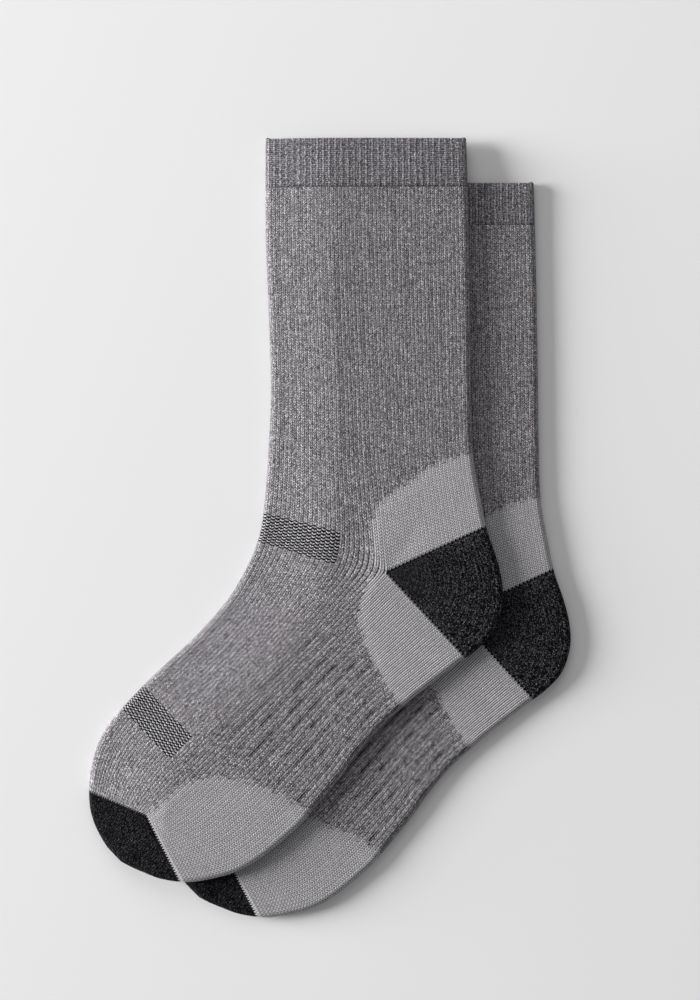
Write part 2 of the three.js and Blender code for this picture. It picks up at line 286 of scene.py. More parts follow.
def easeAnkle(points, ankleRow, wales):
    # The wales in front of the gore corner turn from the leg into the foot on a curve: each pass
    # moves a row a quarter of the way to its neighbours, less so beside the corner and the fold
    look = ankleEase
    ease = np.clip((half - wales) / look["wales"], 0, 1) * np.clip(wales / look["foldWales"], 0, 1)
    offRow = np.abs(np.arange(len(points)) - ankleRow)
    reach = np.clip(1 - (offRow - look["rows"]) / look["fadeRows"], 0, 1)
    weight = look["share"] * (reach[:, None] * ease)[1:-1, :, None]
    result = points.copy()
    for _ in range(look["passes"]):
        result[1:-1] += weight * (result[2:] + result[:-2] - 2 * result[1:-1])
    return result


def roundColumns(upperStep, lowerStep):
    # Wales once round a sock, over the upper face and back under the lower one, and 1 or -1 for the face
    upper = np.arange(0, cloth["wales"] + upperStep / 2, upperStep)
    lower = np.arange(cloth["wales"] - lowerStep, lowerStep / 2, -lowerStep)
    side = np.concatenate([np.ones(len(upper)), -np.ones(len(lower))])
    return np.concatenate([upper, lower]), side


def onLowerSock(points):
    # Height of what the upper sock lies on: the lower sock, and an even slope with rounded ends beside
    # it, half a straight line and half a smooth step
    depth, _ = measure(outline(socks["bottom"]), points)
    share = np.clip(-depth / cloth["drape"], 0, 1)
    return (thickness + cloth["gap"]) * (1 - (share + smoothStep(0, 1, share)) / 2)


# Soft forms of cloth that was smoothed by hand, in millimetres from the gore corner along and up the
# leg. Troughs are negative. Length and width are those of one soft ridge or trough.
creaseNames = ("x", "y", "angle", "length", "width", "height")
creaseRows = [
    (-46, 8, -12, 15, 3.4, -0.38),  # three short tucks where the front of the ankle closes up
    (-49, -4, -24, 13, 3.0, -0.30),
    (-44, 22, -4, 17, 4.0, -0.25),
    (-38, -14, -30, 18, 4.5, 0.17),
    (-18, 66, 82, 34, 8.0, -0.09),  # long shallow waves down the leg
    (12, 104, 93, 40, 9.0, 0.08),
    (-34, 128, 88, 30, 7.0, -0.08),
    (26, 60, 70, 22, 6.0, -0.10),
    (6, 10, 52, 15, 4.2, -0.28),  # the tuck that runs out of the gore corner
    (-12, -10, 35, 16, 4.5, 0.15),
    (20, -44, -42, 20, 5.0, -0.17),  # across the arch behind the heel
    (-24, -42, 48, 30, 7.0, -0.09),
    (-62, -70, 40, 26, 7.0, 0.09),
    (-78, -100, 10, 16, 5.0, -0.17),  # where the foot narrows to the toe
    (-48, -112, 66, 15, 5.0, -0.15),
    (38, -2, 60, 14, 5.0, 0.17),  # the round of the heel
]
creases = dict(zip(creaseNames, np.array(creaseRows, float).T))


def creaseHeight(marks, points):
    # Sum of ridges and troughs, each a bell across and a longer bell along its own direction
    offset = points[..., None, :] - marks["gore"] - np.stack([creases["x"], creases["y"]], -1)
    angle = np.radians(creases["angle"])
    along = offset[..., 0] * np.cos(angle) + offset[..., 1] * np.sin(angle)
    aside = offset[..., 1] * np.cos(angle) - offset[..., 0] * np.sin(angle)
    bell = np.exp(-(along / creases["length"])**2 - (aside / creases["width"])**2)
    return (bell * creases["height"]).sum(-1)


# Outlines of the plainer cushioned parts, on the heel side of these points: above and below the
# heel in millimetres from the gore corner, under the toe in millimetres along and across the foot
heelCushion = [
    (62, 54), (36.3, 52.6), (25, 50.2), (16.1, 45.7), (6.7, 38.5), (-0.4, 34), (-5.8, 27.3), (-7.6, 22),
    (-7.6, 13), (-6.7, 5.4), (0.4, 0.4), (-7.2, -1.3), (-13.4, -13.4), (-12.5, -23.7), (-9.9, -32.7),
    (-5.8, -42.1), (-1.8, -49.7), (5.4, -58.2), (12, -68), (90, -68),
]
toeCushion = [
    (71.3, -3), (59.9, -2.4), (49.7, -1.9), (42.4, 1.6), (33.8, 9.4), (28.4, 17.9), (23.2, 29.3),
    (20, 40), (18.4, 46.7), (17.6, 60), (120, 60), (120, -3),
]


def cushionDepth(marks, points):
    # How far a point lies inside the cushioned parts
    heelDepth, _ = measure(np.array(heelCushion) + marks["gore"], points)
    table = np.array(toeCushion)
    toeOutline = marks["start"] + table[:, :1] * marks["footway"] + table[:, 1:] * marks["across"]
    toeDepth, _ = measure(toeOutline, points)
    return np.maximum(heelDepth, toeDepth)


def lay(sock, xy):
    # What clothPoints needs at each point: its depth inside the outline and the height it lies on
    depth, outward = measure(outline(sock), xy)
    ground = onLowerSock(xy) if sock is socks["top"] else np.zeros(depth.shape)
    return {"xy": xy, "depth": np.maximum(depth - cloth["edge"], 0), "outward": outward, "ground": ground}


def offFold(laid, wales, lastRow=None):
    # Only points of the fold itself are on the outline, so others never meet those of the other face
    inside = (wales > 0) & (wales < cloth["wales"])
    laid["depth"][:lastRow, inside] = np.maximum(laid["depth"][:lastRow, inside], cloth["offFold"])


def pick(laid, rows, columns):
    # The same at some of the rows and columns
    return {name: value[np.ix_(rows, columns)] for name, value in laid.items()}


def clothPoints(laid, side, inner=False, relief=0.0, lip=0.0, gape=0.0):
    # Outside: the two faces of a flat tube whose folds are half circles, height T/2 (1 ± swell) with
    # swell = sqrt(1 - (1 - depth/r)²), moved out along the surface by the relief. Inside: the same
    # with the wall taken off. The lip's roundness sinks both towards the middle of the wall.
    radius = thickness / 2
    xy, depth, outward, ground = (laid[name] for name in ("xy", "depth", "outward", "ground"))
    sink = cloth["wall"] / 2 * lip
    if inner:
        strip = np.maximum(0, 1 - depth / cloth["foldReach"])
        swell = np.sqrt(np.clip(depth * (1 - cloth["foldPinch"] * strip) / cloth["hollowEnd"], 0, 1))
        flatPart = np.clip(1 - swell, 0, 1)
        place = xy - outward * (cloth["wall"] * strip)[..., None]
        height = radius + side * swell * cloth["hollow"] / 2 + side * sink * swell
        place = place + outward * (sink * flatPart)[..., None]
    else:
        toFold = np.clip(1 - depth / radius, 0, 1)
        swell = np.sqrt(1 - toFold**2)
        relief = relief * swell
        place = xy + outward * ((relief - sink) * toFold)[..., None]
        height = radius * (1 + side * swell) + side * swell * (relief - sink)
    height = ground + height + gape * (side > 0)
    return np.concatenate([place, height[..., None]], -1)


# What every point carries for the materials: its place in stitches, how far it lies inside a cushioned part
# and a panel, its distance from a seam, how far the painted shade of its purl lines shows (on the toe, how
# far painted shade darkens it), and how far its wales gape, which deepens the painted shade in their
# grooves
valueNames = ("wale", "course", "cushion", "seam", "rib", "panel", "groove")


def pointValues(shape, **given):
    # One value of each kind for every point, 0 where none is given
    values = np.zeros(shape + (len(valueNames),))
    for name, value in given.items():
        values[..., valueNames.index(name)] = value
    return values


class Shell:
    # Collects grids of points and the faces between them, with the values of every point
    def __init__(self):
        self.points = []
        self.values = []
        self.faces = []
        self.smooth = []
        self.count = 0

    def grid(self, points, values, closed, inward=False):
        # Quads between neighbouring rows and columns. Rows run to the toe and columns from the
        # front to the back fold, which turns the faces outwards.
        rows, columns = points.shape[:2]
        index = self.count + np.arange(rows * columns).reshape(rows, columns)
        if closed:
            index = np.concatenate([index, index[:, :1]], 1)
        quads = np.stack([index[:-1, :-1], index[1:, :-1], index[1:, 1:], index[:-1, 1:]], -1)
        quads = quads.reshape(-1, 4)
        self.points.append(points.reshape(-1, 3))
        self.values.append(values.reshape(-1, len(valueNames)))
        self.faces += (quads[:, ::-1] if inward else quads).tolist()
        self.smooth += [True] * len(quads)
        self.count += rows * columns
        return index

    def wall(self, laid, side, wales, relief, values, closed, inward=False):
        # The outside of a knitted wall, and its inside on every few rows and wales. Gives the numbers
        # of the points on both, and the columns of the outside that the inside has too.
        stride = np.flatnonzero(wales % bodyLook["innerWales"] < 1e-6)
        rows = np.arange(0, len(values), bodyLook["innerRows"])
        inside = clothPoints(pick(laid, rows, stride), side[stride], inner=True)
        outer = self.grid(clothPoints(laid, side, relief=relief), values, closed, inward)
        inner = self.grid(inside, values[np.ix_(rows, stride)], closed, not inward)
        return outer, inner, stride

    def rim(self, outer, inner, stride, atStart, smooth=False):
        # Closes an edge of the wall: each face joins several steps of the outside to one of the inside
        for j in range(len(inner) - 1):
            face = outer[stride[j]:stride[j + 1] + 1].tolist() + inner[[j + 1, j]].tolist()
            self.faces.append(face if atStart else face[::-1])
            self.smooth.append(smooth)


def newObject(name, data):
    # A new object in the scene, at the origin
    thing = bpy.data.objects.new(name, data)
    bpy.context.scene.collection.objects.link(thing)
    return thing


def makeObject(name, shell, material):
    # The collected grids as one mesh, its shared edges merged, with the knit as a UV map in stitches
    mesh = bpy.data.meshes.new(name)
    points = np.concatenate(shell.points) * mm
    values = np.concatenate(shell.values).astype(np.float32)
    mesh.from_pydata(points.tolist(), [], shell.faces)
    corners = np.empty(len(mesh.loops), np.int32)
    mesh.loops.foreach_get("vertex_index", corners)
    knitMap = mesh.uv_layers.new(name="Knit")
    knitMap.data.foreach_set("uv", values[corners, :2].ravel())
    for label, column in zip(valueNames[2:], values.T[2:]):
        attribute = mesh.attributes.new(label, "FLOAT", "POINT")
        attribute.data.foreach_set("value", column.copy())
    mesh.polygons.foreach_set("use_smooth", shell.smooth)
    work = bmesh.new()
    work.from_mesh(mesh)
    bmesh.ops.remove_doubles(work, verts=work.verts, dist=cloth["join"] * mm)
    bmesh.ops.dissolve_degenerate(work, edges=work.edges, dist=cloth["sliver"] * mm)
    work.to_mesh(mesh)
    work.free()
    mesh.materials.append(material)
    return newObject(name, mesh)


def pathLength(points):
    # Sum of the steps between neighbouring points
    return np.linalg.norm(np.diff(points, axis=0), axis=-1).sum()


def roundLength(points):
    # The same once round, back to the first point
    return pathLength(np.concatenate([points, points[:1]]))


def gridArea(points):
    # Half the cross product of the diagonals of each quad
    first = points[1:, 1:] - points[:-1, :-1]
    second = points[1:, :-1] - points[:-1, 1:]
    return 0.5 * np.linalg.norm(np.cross(first, second), axis=-1).sum()


def withTable(xy):
    # Points of the plan, on the table
    return np.concatenate([xy, np.zeros(xy.shape[:-1] + (1,))], -1)


# One small function for every shader node: numbers and colours go on the sockets, nodes and sockets
# are linked
def addNode(tree, kind, inputs=(), **settings):
    node = tree.nodes.new("ShaderNode" + kind)
    for name, value in settings.items():
        setattr(node, name, value)
    for key, value in (inputs.items() if isinstance(inputs, dict) else enumerate(inputs)):
        if isinstance(value, bpy.types.Node):
            tree.links.new(value.outputs[0], node.inputs[key])
        elif isinstance(value, bpy.types.NodeSocket):
            tree.links.new(value, node.inputs[key])
        else:
            node.inputs[key].default_value = value
    return node


def linear(hexColour):
    # sRGB to linear: c/12.92 below 0.04045, ((c + 0.055)/1.055)^2.4 above
    c = np.array([int(hexColour[i:i + 2], 16) for i in (1, 3, 5)]) / 255
    value = np.where(c < 0.04045, c / 12.92, ((c + 0.055) / 1.055)**2.4)
    return (*value.tolist(), 1.0)


def newMaterial(name):
    # An empty material, and the function that adds nodes to it
    material = bpy.data.materials.new(name)
    material.use_nodes = True
    material.node_tree.nodes.clear()
    return material, functools.partial(addNode, material.node_tree)


# One stitch, in shares of a wale from its middle. Strands are 0.4 mm wide and the fibre noise is
# 0.3 mm, coarser than in real wool, because finer ones don't show in the picture.
stitchForm = {
    "inWale": (0.03, 0.16, 1.0, 0.0),  # the hollow between the two legs fades out over this part
    "betweenWales": (0.33, 0.47, 0.0, 1.0),  # and the one between two wales comes in over this one
    "strand": (4.0, 3.0), "leg": (2.0, 1.0), "stitch": (1.0, 1.0),  # how many to a wale and to a row
    "fibre": (5.0, 4.0, 0.0), "streak": (0.45, 0.07, 4.0),  # noise to a wale and to a row, and its depth
}

# Settings that many nodes share. A node with `timesPlus` multiplies its first two values and adds the
# third, and one with `inColour` mixes input 6 with input 7 by input 0, and gives output 2.
smooth = {"interpolation_type": "SMOOTHSTEP"}
times = {"operation": "MULTIPLY"}
timesPlus = {"operation": "MULTIPLY_ADD"}
inColour = {"data_type": "RGBA"}

# What all the yarns share. `hollow` is the colour's factor under the deepest painted shade of a stitch, and
# `gapeFade` is how much of the painted shade between rows goes where wales gape.
wool = {
    "legs": 0.1, "fibres": 0.25, "hollow": 0.1, "bump": 0.35, "bumpHeight": 0.3, "fuzz": 0.5,
    "roughness": 0.95, "sheenRoughness": 0.5, "ior": 1.45, "gapeFade": 0.8,
}


def offMiddle(add, value):
    # How far the fraction of a value is from a half
    part = add("Math", [value], operation="FRACT")
    part = add("Math", [part, 0.5], operation="SUBTRACT")
    return add("Math", [part], operation="ABSOLUTE")


def stitches(add, look):
    # The knit map cut into stitches. A wale is centred on a whole number, and each of its stitches is
    # a V of two slanted legs, so a leg's row is the course plus a slant away from the wale's middle.
    # `inWale` and `betweenWales` are 1 in the hollows beside the legs, `betweenRows` at their ends.
    # Every leg is two strands, and `shade` mixes a chance of each short piece of a strand, one of each
    # leg, noise along the fibres and long streaks down the wales.
    knit = add("SeparateXYZ", [add("UVMap", uv_map="Knit")])
    wale, course = knit.outputs[0], knit.outputs[1]
    shifted = add("Math", [wale, 0.5], operation="ADD")
    aside = offMiddle(add, shifted)
    slanted = add("Math", [aside, look["slant"], course], **timesPlus)
    parts = {}
    for name, along in (("strand", slanted), ("leg", slanted), ("stitch", course)):
        toWale, toRow = stitchForm[name]
        columns = add("Math", [shifted, toWale], **times)
        rows = add("Math", [along, toRow], **times)
        column = add("Math", [columns], operation="FLOOR")
        row = add("Math", [rows], operation="FLOOR")
        cell = add("CombineXYZ", [column, row, look["seed"] + toWale / 8])
        parts[name] = add("TexWhiteNoise", [cell], noise_dimensions="3D").outputs["Value"]
    for name, along in (("fibre", slanted), ("streak", course)):
        toWale, toRow, depth = stitchForm[name]
        across = add("Math", [wale, toWale], **times)
        place = add("CombineXYZ", [across, add("Math", [along, toRow], **times), depth])
        noise = {"Vector": place, "Scale": 1.0, "Detail": 2.0, "Roughness": 0.6}
        parts[name] = add("TexNoise", noise, noise_dimensions="3D").outputs["Fac"]
    shade = look["level"]
    for name, share in (("strand", "strands"), ("leg", "legs"), ("fibre", "fibres"), ("streak", "streaks")):
        shade = add("Math", [parts[name], look[share], shade], **timesPlus)

    turned = add("Math", [slanted, math.tau], **times)
    cosine = add("Math", [turned], operation="COSINE")
    return {
        **parts, "wale": wale, "course": course, "shifted": shifted, "aside": aside, "shade": shade,
        "inWale": add("MapRange", [aside, *stitchForm["inWale"]], **smooth),
        "betweenWales": add("MapRange", [aside, *stitchForm["betweenWales"]], **smooth),
        "betweenRows": add("Math", [cosine, 0.5, 0.5], **timesPlus),
    }


def finishKnit(add, knit, colour, look, groove, middle):
    # Relief is 1 on the middle of a leg, less the hollow beside it and the hollow at its end. The colour is
    # multiplied by painted light drawn from it: painted shade down to `hollow` in the hollows, a painted
    # highlight up to `crest` on the middle of a leg, and more painted shade in the hollows as far as the
    # wales gape (groove). Where the wales gape (groove 1) their rows run together. Wool is matt, with a
    # soft sheen from the fibres that stand off it.
    inWale = add("Math", [knit["inWale"], middle], **times)
    hollow = add("Math", [inWale, knit["betweenWales"]], operation="MAXIMUM")
    across = add("Math", [hollow, -look["waleHollow"], 1.0], **timesPlus)
    gape = add("Math", [groove, 2.0], operation="POWER")
    depth = add("Math", [gape, look["rowHollow"] * look["gapeFade"], -look["rowHollow"]], **timesPlus)
    along = add("Math", [knit["betweenRows"], depth, 1.0], **timesPlus)
    relief = add("Math", [across, along], **times)
    lit = add("MapRange", [relief, 0.0, 1.0, look["hollow"], look["crest"]])
    dark = add("Math", [hollow, groove], **times)
    left = add("Math", [1.0, dark], operation="SUBTRACT")
    shadow = add("Math", [lit, left], **times)
    base = add("Mix", {0: 1.0, 6: colour, 7: shadow}, **inColour, blend_type="MULTIPLY")
    height = add("Math", [knit["fibre"], look["fuzz"], relief], **timesPlus)
    bump = {"Strength": look["bump"], "Distance": look["bumpHeight"] * mm, "Height": height}
    shader = add("BsdfPrincipled", {
        "Base Color": base.outputs[2], "Roughness": look["roughness"], "IOR": look["ior"],
        "Specular IOR Level": look["specular"], "Sheen Weight": look["sheen"],
        "Sheen Roughness": look["sheenRoughness"], "Normal": add("Bump", bump),
    })
    add("OutputMaterial", {"Surface": shader})


def setStops(node, colours):
    # Even steps between the colours
    stops = node.color_ramp.elements
    for i, hexColour in enumerate(colours):
        place = i / (len(colours) - 1)
        stop = stops[0] if i == 0 else stops[-1] if i == len(colours) - 1 else stops.new(place)
        stop.position = place
        stop.color = linear(hexColour)
    return node


def knitted(name, look):
    # A new material with its stitches and the yarn's own shades
    material, add = newMaterial(name)
    knit = stitches(add, look)
    return material, add, knit, setStops(add("ValToRGB", [knit["shade"]]), look["colours"])


# Marl wool and nylon, plain and rib knitted: grey plies twisted with darker ones, so every strand of
# a stitch has its own shade. One stitch in ten is a little warmer. Cushioned parts are one lighter yarn.
marl = {
    **wool,
    "colours": ("#29282a", "#6b676b", "#929094", "#d4d1d5"),
    "cushion": ("#959296", "#a9a7aa", "#bdbbbe"), "warm": "#857b7a", "warmShare": 0.1, "warmth": 0.3,
    # The purl lines' colour is painted shade, where those wales lie back between the ribs
    "charcoal": "#0c0c0f", "purl": "#1c1b1e", "panelDark": "#070608",
    # `waleHollow`, `rowHollow` and `crest` set the painted shade between wales and rows and the painted
    # highlight on the legs
    "level": -0.13, "strands": 0.78, "streaks": 0.12, "slant": 1.7, "waleHollow": 0.6, "rowHollow": 0.75,
    "crest": 1.6, "sheen": 0.1, "specular": 0.1, "seed": 3,
    "middle": 0.85,  # how dark the painted shade in the hollow inside a wale is
    "scatter": 3.0, "cushionFrom": 1.5,  # the cushion's edge moves by this much from stitch to stitch
    "seamReach": (0.0, 0.5, 1.3, 0.1),  # the charcoal reaches over the seam in the middle of every wale
}

# Painted shade on the purl lines between the ribs, in shares of a rib from the line: a soft one, and on the
# foot a crisp one too, broken into dashes of uneven length
purlLine = {
    "soft": (0.05, 0.18, 0.4, 0.0), "crisp": (0.03, 0.08, 1.0, 0.0), "onFoot": (0.6, 1.0, 0.2, 1.0),
    "dash": (0.38, 0.56, 1.0, 0.15), "share": 0.6, "chance": 0.35,
}

# Dark dashes of the flex panels: their length, how far they bend with the stitch, how ragged they are,
# and where their long and short edges fade
panelDash = {
    "pitch": 1.4, "bend": 0.7, "ragged": 0.5, "edge": (0.26, 0.36, 1.0, 0.0), "end": (0.42, 0.5, 1.0, 0.5),
}


def marlKnit():
    material, add, knit, marlYarn = knitted("marlWoolKnit", marl)
    mask = {name: add("Attribute", attribute_name=name).outputs["Fac"] for name in valueNames[2:]}

    jitter = add("Math", [knit["stitch"], marl["scatter"], mask["cushion"]], **timesPlus)
    isCushion = add("Math", [jitter, marl["cushionFrom"]], operation="GREATER_THAN")
    isWarm = add("Math", [knit["stitch"], 1 - marl["warmShare"]], operation="GREATER_THAN")
    warmth = add("Math", [isWarm, marl["warmth"]], **times)
    warmYarn = add("Mix", {0: warmth, 6: marlYarn, 7: linear(marl["warm"])}, **inColour)
    plainYarn = setStops(add("ValToRGB", [knit["shade"]]), marl["cushion"])
    yarn = add("Mix", {0: isCushion, 6: warmYarn.outputs[2], 7: plainYarn}, **inColour)

    # Purl lines: every third wale lies back, and painted shade darkens it in dashes
    turned = add("Math", [knit["wale"], bodyLook["purlAt"]], operation="SUBTRACT")
    turned = add("Math", [turned, 1 / bodyLook["ribWales"], 0.5], **timesPlus)
    offPurl = offMiddle(add, turned)
    soft = add("MapRange", [offPurl, *purlLine["soft"]], **smooth)
    crisp = add("MapRange", [offPurl, *purlLine["crisp"]], **smooth)
    onFoot = add("MapRange", [mask["rib"], *purlLine["onFoot"]])
    onPurl = add("Math", [crisp, onFoot, soft], **timesPlus)
    dash = add("MapRange", [knit["streak"], *purlLine["dash"]])
    dash = add("Math", [dash, purlLine["share"]], **times)
    dash = add("Math", [knit["stitch"], purlLine["chance"], dash], **timesPlus)
    purl = add("Math", [onPurl, dash], **times)
    purl = add("Math", [purl, mask["rib"]], **times)
    ribbed = add("Mix", {0: purl, 6: yarn.outputs[2], 7: linear(marl["purl"])}, **inColour)

    # Flex panels: a dash over every wale, each column half a dash lower than the last
    column = add("Math", [knit["shifted"]], operation="FLOOR")
    bent = add("Math", [knit["aside"], panelDash["bend"], knit["course"]], **timesPlus)
    dashes = add("Math", [bent, cloth["course"] / panelDash["pitch"]], **times)
    dashes = add("Math", [column, 0.5, dashes], **timesPlus)
    dashes = add("Math", [knit["fibre"], panelDash["ragged"], dashes], **timesPlus)
    band = add("MapRange", [offMiddle(add, dashes), *panelDash["edge"]], **smooth)
    end = add("MapRange", [knit["aside"], *panelDash["end"]], **smooth)
    brick = add("Math", [band, end], **times)
    panelYarn = add("Mix", {0: brick, 6: plainYarn, 7: linear(marl["panelDark"])}, **inColour)
    inPanel = add("Math", [mask["panel"], 0.0], operation="GREATER_THAN")
    panelled = {0: inPanel, 6: ribbed.outputs[2], 7: panelYarn.outputs[2]}
    panelled = add("Mix", panelled, **inColour).outputs[2]

    reach = add("MapRange", [knit["aside"], *marl["seamReach"]])
    isDark = add("Math", [mask["seam"], reach], operation="LESS_THAN")
    whole = add("Mix", {0: isDark, 6: panelled, 7: linear(marl["charcoal"])}, **inColour)
    plainMiddle = add("Math", [marl["middle"], mask["groove"]], operation="SUBTRACT")
    cushionMiddle = add("Math", [isCushion, marl["middle"]], **times)
    middle = add("Math", [plainMiddle, cushionMiddle], operation="MAXIMUM")
    finishKnit(add, knit, whole.outputs[2], marl, mask["groove"], middle)
    return material


# The same marl in a close one-and-one rib, so the cuff reads darker and more even. Its purl lines carry
# painted shade, the `groove` colour, dotted: `dots` is what the hollow between two rows adds and what is
# there all along.
cuffYarn = {
    **wool,
    "colours": ("#232224", "#4d4a4e", "#6b686d", "#a9a6ab"), "groove": "#171619",
    "level": -0.06, "strands": 0.9, "streaks": 0.05, "slant": 0.6, "waleHollow": 0.8, "rowHollow": 0.6,
    "crest": 1.75, "sheen": 0.1, "specular": 0.1, "seed": 17,
    "dots": (0.6, 0.4), "gape": 0.55, "middle": 0.2,
}


def cuffKnit():
    material, add, knit, yarn = knitted("ribbedWoolCuff", cuffYarn)
    # Painted shade on the purl lines, deepest between two rows
    rib = add("Attribute", attribute_name="rib").outputs["Fac"]
    rows = add("Math", [knit["betweenRows"], *cuffYarn["dots"]], **timesPlus)
    dotted = add("Math", [rib, rows], **times)
    grooved = add("Mix", {0: dotted, 6: yarn, 7: linear(cuffYarn["groove"])}, **inColour)
    finishKnit(add, knit, grooved.outputs[2], cuffYarn, cuffYarn["gape"], cuffYarn["middle"])
    return material


# Charcoal wool, densely knitted over terry: nearly black with small lighter flecks, and a near-black
# painted shade for the toe
charcoal = {
    **wool,
    "colours": ("#020202", "#0d0d0f", "#1c1c1f", "#66666b"), "toeShade": "#050506",
    "level": -0.14, "strands": 0.9, "streaks": 0.05, "slant": 1.7, "waleHollow": 0.55, "rowHollow": 0.85,
    "crest": 1.85, "sheen": 0.02, "specular": 0.02, "seed": 29, "middle": 0.5,
}


def charcoalKnit():
    material, add, knit, yarn = knitted("charcoalWoolKnit", charcoal)
    # Painted shade darkens the toe: its yarn is mixed with a near-black by the `rib` value, so it shows
    # fewer flecks
    toeShade = add("Attribute", attribute_name="rib").outputs["Fac"]
    mixed = add("Mix", {0: toeShade, 6: yarn, 7: linear(charcoal["toeShade"])}, **inColour)
    groove = add("Attribute", attribute_name="groove").outputs["Fac"]
    finishKnit(add, knit, mixed.outputs[2], charcoal, groove, charcoal["middle"])
    return material


# Cuff: a one-and-one rib with a soft rounded lip
cuffLook = {
    "ribs": 34, "columnsPerRib": 6, "groove": 0.06, "crest": 0.08, "rowStep": 1.6, "lipRows": 5,
    "course": 0.9, "purlDark": 0.85, "purlSharp": 8,  # how dark the painted shade on its purl lines is, and how narrow they are
    "gapeFades": 14, "gapeRound": 0.8,  # the open mouth closes down the cuff and towards the folds
}


def makeCuff(name, sock, marks, material):
    # Relief is a cosine across each rib, from the crest down to the purl line. The lip's rows are
    # those of a quarter circle.
    look = cuffLook
    step = cloth["wales"] / (look["ribs"] * look["columnsPerRib"])
    wales, side = roundColumns(step, step)
    lipRows = cloth["wall"] / 2 * (1 - np.cos(np.linspace(0, math.pi / 2, look["lipRows"])))
    count = int((sock["cuff"] - lipRows[-1]) / look["rowStep"])
    down = np.concatenate([lipRows, np.linspace(lipRows[-1], sock["cuff"], count)[1:]])
    xy = faceRows(*legRows(sock, marks, down / legReach(sock)), wales)
    lipSwell = np.sqrt(1 - np.clip(1 - down / lipRows[-1], 0, 1)**2)[:, None]
    ribPhase = wales / cloth["wales"] * look["ribs"]
    groove = np.where(side > 0, 0.5 - 0.5 * np.cos(math.tau * ribPhase), 0)
    relief = (look["crest"] * (side > 0) - groove * (look["groove"] + look["crest"])) * lipSwell
    stands = sock["gape"] * np.exp(-down / look["gapeFades"])[:, None]
    stands = stands * np.sin(math.pi * wales / cloth["wales"])**look["gapeRound"]
    mouth = {"lip": 1 - lipSwell, "gape": stands}
    laid = lay(sock, xy)
    offFold(laid, wales)
    values = pointValues(xy.shape[:2], wale=2 * ribPhase, course=down[:, None] / look["course"],
                         rib=look["purlDark"] * groove**look["purlSharp"])
    shell = Shell()
    out = shell.grid(clothPoints(laid, side, relief=relief, **mouth), values, closed=True)
    inn = shell.grid(clothPoints(laid, side, inner=True, **mouth), values, closed=True, inward=True)
    each = np.arange(out.shape[1])
    shell.rim(out[0], inn[0], each, True, smooth=True)
    shell.rim(out[-1], inn[-1], each, False)
    piece = makeObject(name, shell, material)
    around = roundLength(clothPoints(laid, side)[-1])
    return piece, around, sock["cuff"], around * sock["cuff"]


# Leg and foot. A pair is the strip over which something comes in, in millimetres, for a panel in stitches.
bodyLook = {
    "upperStep": 0.25, "lowerStep": 1.0, "rowStep": 1.6,  # of the points on the outside
    "innerRows": 4, "innerWales": 3,  # the inside has every fourth row and every third wale
    "ribWales": 3, "purlAt": 1, "ribDepth": 0.08, "ribUneven": 0.5, "purlBell": 0.36,
    "waleRound": 0.05, "cushionFlat": 0.5, "cushionRise": 0.25, "cushionEdge": (0, 4),
    "ribsStop": (-1, 3), "panelEdge": (-2, 0),
    "anklePanel": {"wales": 17.5, "above": 8.8, "below": 4.3},
    "toePanel": {"wales": 20.5, "from": 32.0, "to": 46.4},
}

# Ribs of two knit wales and one purl wale. `sole` is what shows of them towards the front fold.
ribLook = {
    "leg": 0.6, "legEnds": (38, 48), "footStarts": (-54, -42), "footEnds": (24.5, 21.5), "slant": 0.08,
    "sole": 0.45, "soleWales": (15, 33), "footTop": 20,
}

# How far the wales gape, and so how deep the painted shade between them is: on the leg, on the foot, round
# the gore corner and on the cushion below it
gapeLook = {
    "leg": 0.28, "foot": 0.5, "ankle": (5, -25), "gore": 0.6, "goreReach": (28, 8),
    "cushion": 0.85, "below": (-2, 12), "cushionReach": (63, 55),
}


def ribShare(marks, xy, wales):
    # Ribs on the leg down to a level line, and along the foot between two lines across it
    look = ribLook
    up = xy[..., 1] - marks["gore"][1]
    offset = xy - marks["start"]
    along = offset @ marks["footway"] + look["slant"] * (offset @ marks["across"])
    onFoot = smoothStep(*look["footStarts"], along) * smoothStep(*look["footEnds"], along)
    sole = look["sole"] + (1 - look["sole"]) * smoothStep(*look["soleWales"], wales)
    onFoot = onFoot * sole * (up < look["footTop"])
    return np.maximum(look["leg"] * smoothStep(*look["legEnds"], up), onFoot)


def grooveShare(marks, xy, inCushion):
    # Leg, foot and gore corner outside the cushions, and the part below the heel inside them, each
    # fading over its own strip
    look = gapeLook
    offset = xy - marks["gore"]
    fromGore = np.linalg.norm(offset, axis=-1)
    plain = look["leg"] + (look["foot"] - look["leg"]) * smoothStep(*look["ankle"], offset[..., 1])
    plain = plain + look["gore"] * smoothStep(*look["goreReach"], fromGore)
    below = look["cushion"] * smoothStep(*look["below"], offset @ marks["footway"])
    return plain * (1 - inCushion) + below * smoothStep(*look["cushionReach"], fromGore) * inCushion


